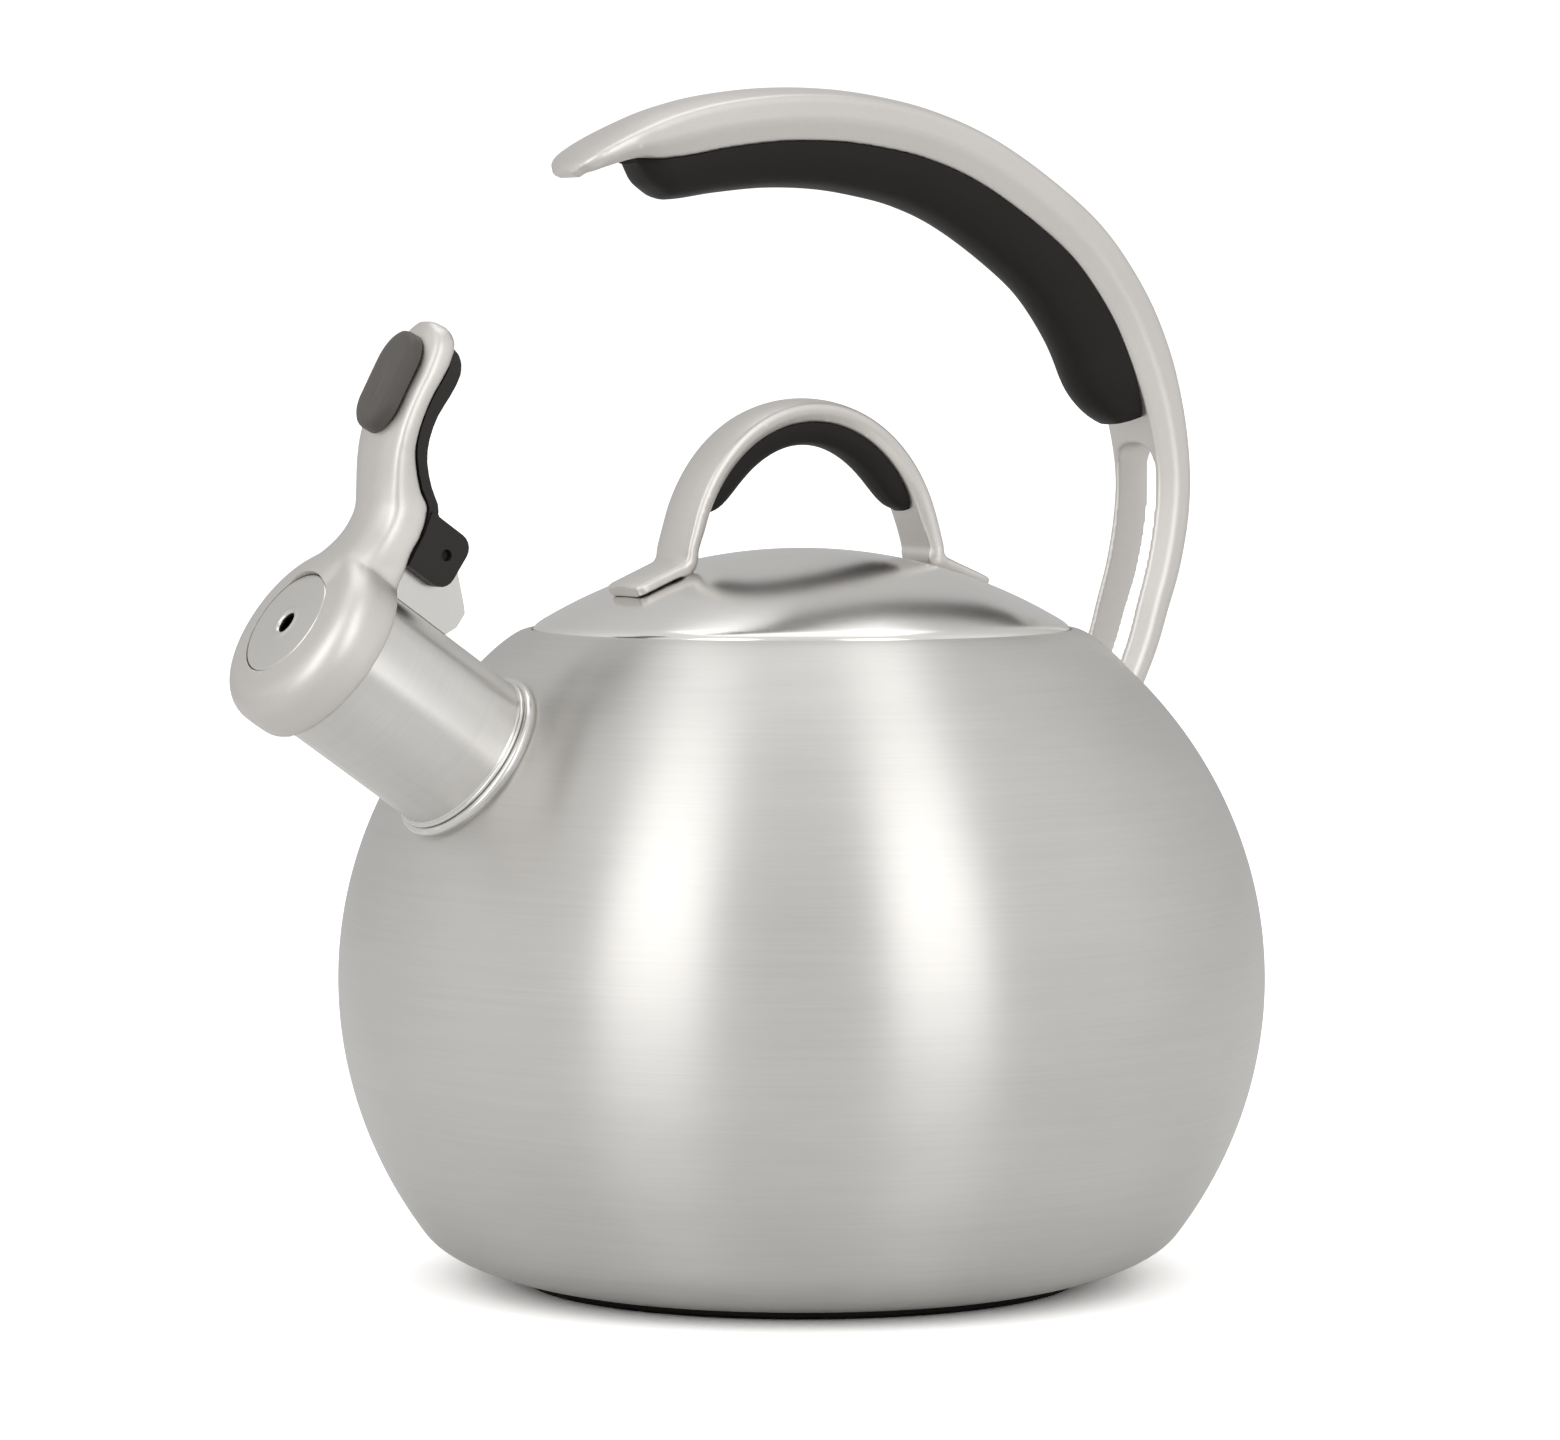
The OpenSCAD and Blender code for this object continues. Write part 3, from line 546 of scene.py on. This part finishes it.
HANDLE_LINE = [
    (-63.6, 249.6, 3.2, 4.5), (-62.2, 252.2, 4.0, 7.6), (-58.8, 254.9, 4.9, 9.8),
    (-52, 258.7, 6.7, 11), (-45.5, 261.9, 9.9, 11), (-38, 264.7, 11.6, 11),
    (-27, 267.4, 12.2, 11), (-12, 269.3, 12.3, 11), (3, 269.6, 12.3, 11),
    (17, 268.4, 12.3, 11), (32, 265.5, 12.2, 11), (47.7, 259.9, 12.2, 11),
    (64.8, 250.2, 12.2, 11), (79, 239.4, 12.2, 11), (90.5, 225.3, 12.2, 11),
    (97.7, 211.4, 12.1, 11), (101.8, 197.2, 10.9, 11), (103.6, 183.2, 9.9, 11),
    (103.2, 171.6, 9.8, 11), (100.7, 159.4, 9.5, 11), (97.1, 149.2, 9.0, 11),
    (94.1, 140.9, 8.6, 11), (90, 132.4, 8.2, 11), (84.2, 122.6, 7.6, 11)]
BRACKET_GAP = 2.3


def metal_section(w, t, _i=0):
    """Crowned outer face, rounded shoulders, side bands and bevelled underside."""
    crown = 0.16 * t
    band = max(0.62 * t, crown + min(1.2, 0.3 * t) + 0.1)
    inset = min(2.4, 0.5 * (t - band) + 0.8, max(0.4, t - 3))
    top = [(-w, crown + 0.25), (-0.5 * w, 0.25 * crown), (0, 0), (0.5 * w, 0.25 * crown),
           (w, crown + 0.25)]
    low = [(w, band), (w - inset, t), (-w + inset, t), (-w, band)]
    return rounded(top + low, [1.3, 3.0, 3.0, 3.0, 1.3, 0.7, 0.6, 0.6, 0.7], 4)


def build_handle():
    line = spline(HANDLE_LINE, 8)
    handle = skin("cast_handle", strap_rings(line, metal_section))
    slot = rounded([(-SLOT_HALF, 136.5), (SLOT_HALF, 136.5), (SLOT_HALF, SLOT_TOP_Z),
                    (-SLOT_HALF, SLOT_TOP_Z)], [1.5, 1.5, 7.3, 7.3], 10)
    n = len(slot)
    verts = [(60, y, z) for y, z in slot] + [(120, y, z) for y, z in slot]
    faces = [tuple(range(n)), tuple(range(2 * n - 1, n - 1, -1))]
    faces += [(i, (i + 1) % n, n + (i + 1) % n, n + i) for i in range(n)]
    combine(handle, [new_object("slot_tool", verts, faces),
                     body_tool("foot_trim", BRACKET_GAP, 60.0)], "DIFFERENCE")
    remesh(handle, 0.5, 0.5, 4)
    finish_piece(handle, "kettle", CAST, ["handle"])

    def section(w, t, _i=0):
        return rounded([(-w, 0), (-w, 0.45 * t), (-0.72 * w, 0.86 * t), (0, t),
                        (0.72 * w, 0.86 * t), (w, 0.45 * t), (w, 0)],
                       [0.4, 2.5, 2.5, 3.0, 2.5, 2.5, 0.4], 5)

    full = spline(HANDLE_LINE, 12)
    first, last = 40, 192
    stations = []
    for i in range(first, last + 1):
        x, z, t, _w = full[i]
        a = full[i - 1]
        b = full[i + 1]
        length = math.hypot(b[0] - a[0], b[1] - a[1])
        inx, inz = (b[1] - a[1]) / length, -(b[0] - a[0]) / length
        u = (i - first) / (last - first)
        lead = max(0.14, math.sin(math.radians(90 * min(1.0, u / 0.1))))
        tail = math.sqrt(1 - 0.78 * max(0.0, (u - 0.9) / 0.1) ** 2)
        lobe = min(lead, tail)
        depth = lerp(9.2, 13.6, u) * lobe
        stations.append((x + inx * (t + 0.02), z + inz * (t + 0.02), depth,
                         8.5 * (0.4 + 0.6 * lobe)))
    grip = skin("hand_grip", strap_rings(stations, section))
    finish_piece(grip, "kettle", RUBBER, ["handle_grip"])


# ------------------------------------------------------------------ lid

def build_lid():
    edge = SEAM_R - 0.2
    steps = 60
    outer = [((edge - 2) * i / steps, dome_z((edge - 2) * i / steps)) for i in range(steps + 1)]
    a = (edge - 2, dome_z(edge - 2))
    b = (edge, dome_z(edge))
    c = (edge, LID_EDGE_Z - 0.9)
    for i in range(1, 9):
        t = i / 8
        outer.append(tuple(a[k] * (1 - t) ** 2 + b[k] * 2 * t * (1 - t) + c[k] * t * t
                           for k in (0, 1)))
    low = SEAT_Z + RUN_GAP
    inner = [(edge, low + 0.2), (edge - 0.2, low), (edge - LID_WALL, low)]
    reach = edge - LID_WALL - 0.4
    inner += [(reach * i / 30, dome_z(reach * i / 30, -LID_WALL)) for i in range(30, -1, -1)]
    dome = lathe("lid_cover", outer + inner, 256)
    finish_piece(dome, "lid", LID_STEEL, ["lid_dome"])


def loop_line(steps):
    stations = [(48.5, 3.38, 3.05, LOOP_W - 2.3), (48.2, 3.4, 3.05, LOOP_W - 1.2),
                (47.4, 3.4, 3.05, LOOP_W - 0.4), (46.2, 3.4, 3.05, LOOP_W),
                (41.5, 3.4, 3.1, LOOP_W), (37.6, 3.6, 3.3, LOOP_W), (35.8, 4.2, 4.9, LOOP_W),
                (35.2, 6.4, 4.2, LOOP_W)]

    def foot(side):
        return [(side * x, dome_z(x) + rise, t, w) for x, rise, t, w in stations]

    arch = [(-LOOP_SPAN * math.cos(math.radians(a)),
             ARCH_Z + (LOOP_TOP_Z - ARCH_Z) * math.sin(math.radians(a)),
             4.6 + 0.8 * math.sin(math.radians(a)), LOOP_W) for a in range(16, 165, 8)]
    return spline(foot(-1) + arch + foot(1)[::-1], steps)


def build_lid_handle():
    loop = skin("loop_strap", strap_rings(loop_line(6), metal_section))
    remesh(loop, 0.4, 0.5, 4)
    finish_piece(loop, "lid", CAST, ["lid_handle"])

    def section(w, t, _i=0):
        return rounded([(-w, 0), (-w, 0.45 * t), (-0.7 * w, 0.88 * t), (0, t),
                        (0.7 * w, 0.88 * t), (w, 0.45 * t), (w, 0)],
                       [0.3, 1.5, 1.5, 2.0, 1.5, 1.5, 0.3], 5)

    stations = []
    steps = 90
    h = LOOP_TOP_Z - ARCH_Z
    for i in range(steps + 1):
        u = 2 * i / steps - 1
        a = math.radians(lerp(24, 156, i / steps))
        t = 4.62 + 0.8 * math.sin(a)
        lobe = math.sqrt(max(0.08, 1 - abs(u) ** 9))
        nx, nz = -math.cos(a) / LOOP_SPAN, math.sin(a) / h
        length = math.hypot(nx, nz)
        stations.append((-LOOP_SPAN * math.cos(a) - t * nx / length,
                         ARCH_Z + h * math.sin(a) - t * nz / length,
                         5.4 * lobe, (LOOP_W - 2.0) * (0.35 + 0.65 * lobe)))
    grip = skin("loop_grip", strap_rings(stations, section))
    finish_piece(grip, "lid", RUBBER, ["lid_grip"])


# ------------------------------------------------------------------ whistle lever

CAP_BACK = 0.4
CAVITY_R = 17.4
CHAMBER_R = 15.0
CAVITY_END = 5.4
CHAMBER_END = CAP_LEN - 2.4
ARM_LINE = [
    (-98.2, 216.9, -96.6, 216.9, 2.6), (-99.9, 214.9, -94.8, 214.8, 6.3),
    (-101.3, 211.9, -94.7, 211.4, 8.5), (-103.9, 206.8, -97.1, 206.3, 9.4),
    (-107.2, 200.9, -101, 200.6, 9.7), (-110.2, 194.2, -104.2, 193.6, 9.7),
    (-111.8, 187.4, -105.1, 187.8, 9.4), (-112.7, 180.4, -103.8, 180.6, 9.2),
    (-113.5, 175.9, -102.1, 176.5, 9.4), (-116.3, 171.4, -104, 170.9, 10),
    (-120.4, 167.6, -107.3, 166.7, 11.2), (-125.4, 164.4, -109.6, 163, 12.8),
    (-128.4, 160.4, -112.2, 158.8, 13.4)]


def cap_outline():
    r = 5.6
    pts = [(0, CAP_BACK), (CAP_R - 0.3, CAP_BACK), (CAP_R, CAP_BACK + 2.6)]
    pts += arc(CAP_R - r, CAP_LEN - 0.5 - r, r, 0, 82, 16)
    pts += [(DISC_R + 0.2, CAP_LEN), (0, CAP_LEN)]
    return pts


def arm_rings():
    section = rounded([(-1, 0.93), (-1, 0.3), (-0.5, 0.03), (0, 0), (0.5, 0.03), (1, 0.3),
                       (1, 0.93), (0.93, 1), (-0.93, 1)],
                      [0.05, 0.16, 0.2, 0.2, 0.2, 0.16, 0.05, 0.05, 0.05], 4)
    rings = []
    for fx, fz, bx, bz, w in spline(ARM_LINE, 6):
        rings.append([(lerp(fx, bx, d), y * w, lerp(fz, bz, d)) for y, d in section])
    return rings


def build_lever():
    cap = place(lathe("whistle_casting", cap_outline(), 128), MOUTH_FRAME)
    combine(cap, [skin("arm_tool", arm_rings())], "UNION")
    remesh(cap, 0.5, 0.6, 14)
    cuts = [
        lathe("cut_back", [(0, -30), (CAP_R + 6, -30), (CAP_R + 6, CAP_BACK), (0, CAP_BACK)], 96),
        lathe("cut_cavity", [(0, -1), (CAVITY_R, -1), (CAVITY_R, CAVITY_END),
                             (CHAMBER_R, CAVITY_END), (CHAMBER_R, CHAMBER_END),
                             (9.8, CHAMBER_END), (9.8, CAP_LEN - 1.1),
                             (DISC_R + 0.15, CAP_LEN - 1.1), (DISC_R + 0.15, CAP_LEN + 3),
                             (0, CAP_LEN + 3)], 128)]
    for cut in cuts:
        place(cut, MOUTH_FRAME)
    combine(cap, cuts, "DIFFERENCE")
    tidy(cap, 50.0)
    finish_piece(cap, "whistle_lever", CAST, ["whistle_cap"])

    top = CAP_LEN
    profile = [(HOLE_R, top - 1.05), (DISC_R, top - 1.05), (DISC_R, top - 0.3),
               (DISC_R - 0.3, top + 0.02), (HOLE_R + 1.6, top + 0.05),
               (HOLE_R + 1.1, top + 0.22), (HOLE_R + 0.5, top + 0.2), (HOLE_R, top - 0.2)]
    disc = place(lathe("whistle_plate", rounded(profile, 0.25, 4), 128), MOUTH_FRAME)
    finish_piece(disc, "whistle_lever", DISC_STEEL, ["whistle_disc"])


PAD_LOW = 199.5         # centres of the pad's round ends
PAD_HIGH = 207.1
PAD_R = 6.8
PAD_RISE = (-2.8, 1.4)


def face_x(z):
    """x of the arm's front face at a height."""
    line = [(s[1], s[0]) for s in spline(ARM_LINE, 6)]
    for (z1, x1), (z0, x0) in zip(line, line[1:]):
        if z0 <= z <= z1:
            return lerp(x0, x1, (z - z0) / (z1 - z0))
    return line[0][1]


def build_thumb_pad():
    """Oval rubber pad with a soft rim, laid over the arm's curved face."""
    rings = []
    for depth, inset in ((-0.02, 0), (0.6, 0), (0.82, 0.2), (0.93, 0.6), (0.985, 1.2),
                         (1.0, 2.2), (1.0, 3.8), (1.0, 5.4), (1.0, 6.7)):
        r = PAD_R - inset
        outline = arc(0, PAD_HIGH, r, 0, 180, 24) + arc(0, PAD_LOW, r, 180, 360, 24)
        rings.append([(face_x(z) + PAD_RISE[0] * depth, y, z + PAD_RISE[1] * depth)
                      for y, z in outline])
    pad = skin("lever_pad", rings, 60.0)
    finish_piece(pad, "whistle_lever", PAD, ["thumb_pad"])


def main():
    build_vessel()
    build_spout()
    build_handle()
    build_lid()
    build_lid_handle()
    build_lever()
    build_thumb_pad()
    # The hinge pin, the whistle's back plate and its chamber are near-black as painted shade, so
    # the pin's hole and the whistle hole look dark.
    keep = {
        "base_core": ALUMINIUM, "hinge_bracket": POLISHED, "hinge_pin": PAINTED_SHADE_STEEL,
        "hinge_spring": SPRING, "handle_bracket": POLISHED, "handle_screws": POLISHED,
        "lid_skirt": BODY_STEEL, "lid_screws": POLISHED, "lid_washers": POLISHED,
        "whistle_back_plate": PAINTED_SHADE_STEEL, "whistle_chamber": PAINTED_SHADE_STEEL,
        "spout_seal": SILICONE, "lever_backing": PLASTIC,
        "lever_screws": POLISHED}
    for name, material in keep.items():
        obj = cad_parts[name]
        for slot in obj.material_slots:
            slot.material = material
        if not obj.material_slots:
            obj.data.materials.append(material)


# ------------------------------------------------------------------ camera, floor, light

def build_camera():
    azimuth = VIEW_AZIMUTH
    tilt = math.radians(3.51)
    back = Vector((math.sin(azimuth) * math.cos(tilt), -math.cos(azimuth) * math.cos(tilt),
                   math.sin(tilt)))
    right = Vector((math.cos(azimuth), math.sin(azimuth), 0.0))
    up = back.cross(right)
    target = Vector((0.0, 0.0, 0.1269)) - right * 0.00487
    place_at = target + back * 1.400
    data = bpy.data.cameras.new("view")
    data.sensor_width = 36.0
    data.sensor_fit = "HORIZONTAL"
    data.lens = 142.6
    data.clip_start = 0.05
    data.clip_end = 100.0
    camera = bpy.data.objects.new("view", data)
    camera.matrix_world = Matrix((
        (right.x, up.x, back.x, place_at.x), (right.y, up.y, back.y, place_at.y),
        (right.z, up.z, back.z, place_at.z), (0.0, 0.0, 0.0, 1.0)))
    bpy.context.scene.collection.objects.link(camera)
    bpy.context.scene.camera = camera


def build_floor():
    mesh = bpy.data.meshes.new("floor")
    s = 30.0
    z = -0.0001
    mesh.from_pydata([(-s, -s, z), (s, -s, z), (s, s, z), (-s, s, z)], [], [(0, 1, 2, 3)])
    floor = bpy.data.objects.new("floor", mesh)
    bpy.context.scene.collection.objects.link(floor)
    n = Nodes("pale_floor")
    cloud = stretched_noise(n, object_point(n), (3.0, 3.0, 3.0))
    colour = n.colour_between(cloud, (0.74, 0.74, 0.74), (0.76, 0.76, 0.76))
    seen = n.add("ShaderNodeLightPath").outputs["Is Camera Ray"]
    lift = n.add("ShaderNodeVectorMath", {0: colour, 1: (1.0, 1.0, 1.0)}, operation="SCALE")
    n.tree.links.new(n.spread(seen, 1.0, FLOOR_LIFT), lift.inputs["Scale"])
    matt = n.add("ShaderNodeBsdfDiffuse", {"Color": lift.outputs[0]})
    n.tree.links.new(matt.outputs[0], n.tree.nodes["Material Output"].inputs[0])
    floor.data.materials.append(n.material)


def around(azimuth, distance, height):
    """Point at a compass angle from the camera's own, seen from above."""
    a = VIEW_AZIMUTH + math.radians(azimuth)
    return Vector((math.sin(a) * distance, -math.cos(a) * distance, height))


def softbox(name, size, location, aim, radiance):
    data = bpy.data.lights.new(name, "AREA")
    data.shape = "RECTANGLE"
    data.size, data.size_y = size
    data.energy = radiance * math.pi * size[0] * size[1]
    light = bpy.data.objects.new(name, data)
    light.location = location
    light.rotation_euler = (Vector(aim) - Vector(location)).to_track_quat("-Z", "Y").to_euler()
    bpy.context.scene.collection.objects.link(light)


def world_level(tree, value, low, high, at_low, at_high):
    node = tree.nodes.new("ShaderNodeMapRange")
    for key, number in {"From Min": low, "From Max": high, "To Min": at_low,
                        "To Max": at_high}.items():
        node.inputs[key].default_value = number
    tree.links.new(value, node.inputs["Value"])
    return node.outputs[0]


def build_world():
    """Even grey studio, brightest at the sides, white where the camera sees it."""
    world = bpy.data.worlds.new("studio")
    bpy.context.scene.world = world
    world.use_nodes = True
    tree = world.node_tree
    background = tree.nodes["Background"]
    direction = tree.nodes.new("ShaderNodeTexCoord").outputs["Generated"]
    facing = tree.nodes.new("ShaderNodeVectorMath")
    facing.operation = "DOT_PRODUCT"
    facing.inputs[1].default_value = around(0, 1, 0)
    tree.links.new(direction, facing.inputs[0])
    behind = world_level(tree, facing.outputs["Value"], -1.0, 0.0, 0.52, 0.92)
    front = world_level(tree, facing.outputs["Value"], 0.0, 1.0, 1.0, 0.86)
    seen = tree.nodes.new("ShaderNodeLightPath").outputs["Is Camera Ray"]
    level = tree.nodes.new("ShaderNodeMath")
    level.operation = "MULTIPLY"
    tree.links.new(behind, level.inputs[0])
    tree.links.new(front, level.inputs[1])
    white = world_level(tree, seen, 0.0, 1.0, 0.0, 1.15)
    strength = tree.nodes.new("ShaderNodeMath")
    strength.operation = "MAXIMUM"
    tree.links.new(level.outputs[0], strength.inputs[0])
    tree.links.new(white, strength.inputs[1])
    tree.links.new(strength.outputs[0], background.inputs["Strength"])
    background.inputs["Color"].default_value = (1.0, 0.995, 0.985, 1.0)


def build_light():
    build_world()
    softbox("left_box", (0.95, 2.6), around(-37, 2.0, 1.3), (0, 0, 1.0), 1.5)
    softbox("right_box", (0.9, 2.6), around(34, 2.0, 1.3), (0, 0, 1.0), 1.5)
    softbox("top_box", (1.4, 1.0), around(180, 0.5, 2.0), (0, 0, 0.1), 1.1)
    bpy.context.scene.view_settings.view_transform = "Standard"


main()
build_camera()
build_floor()
build_light()
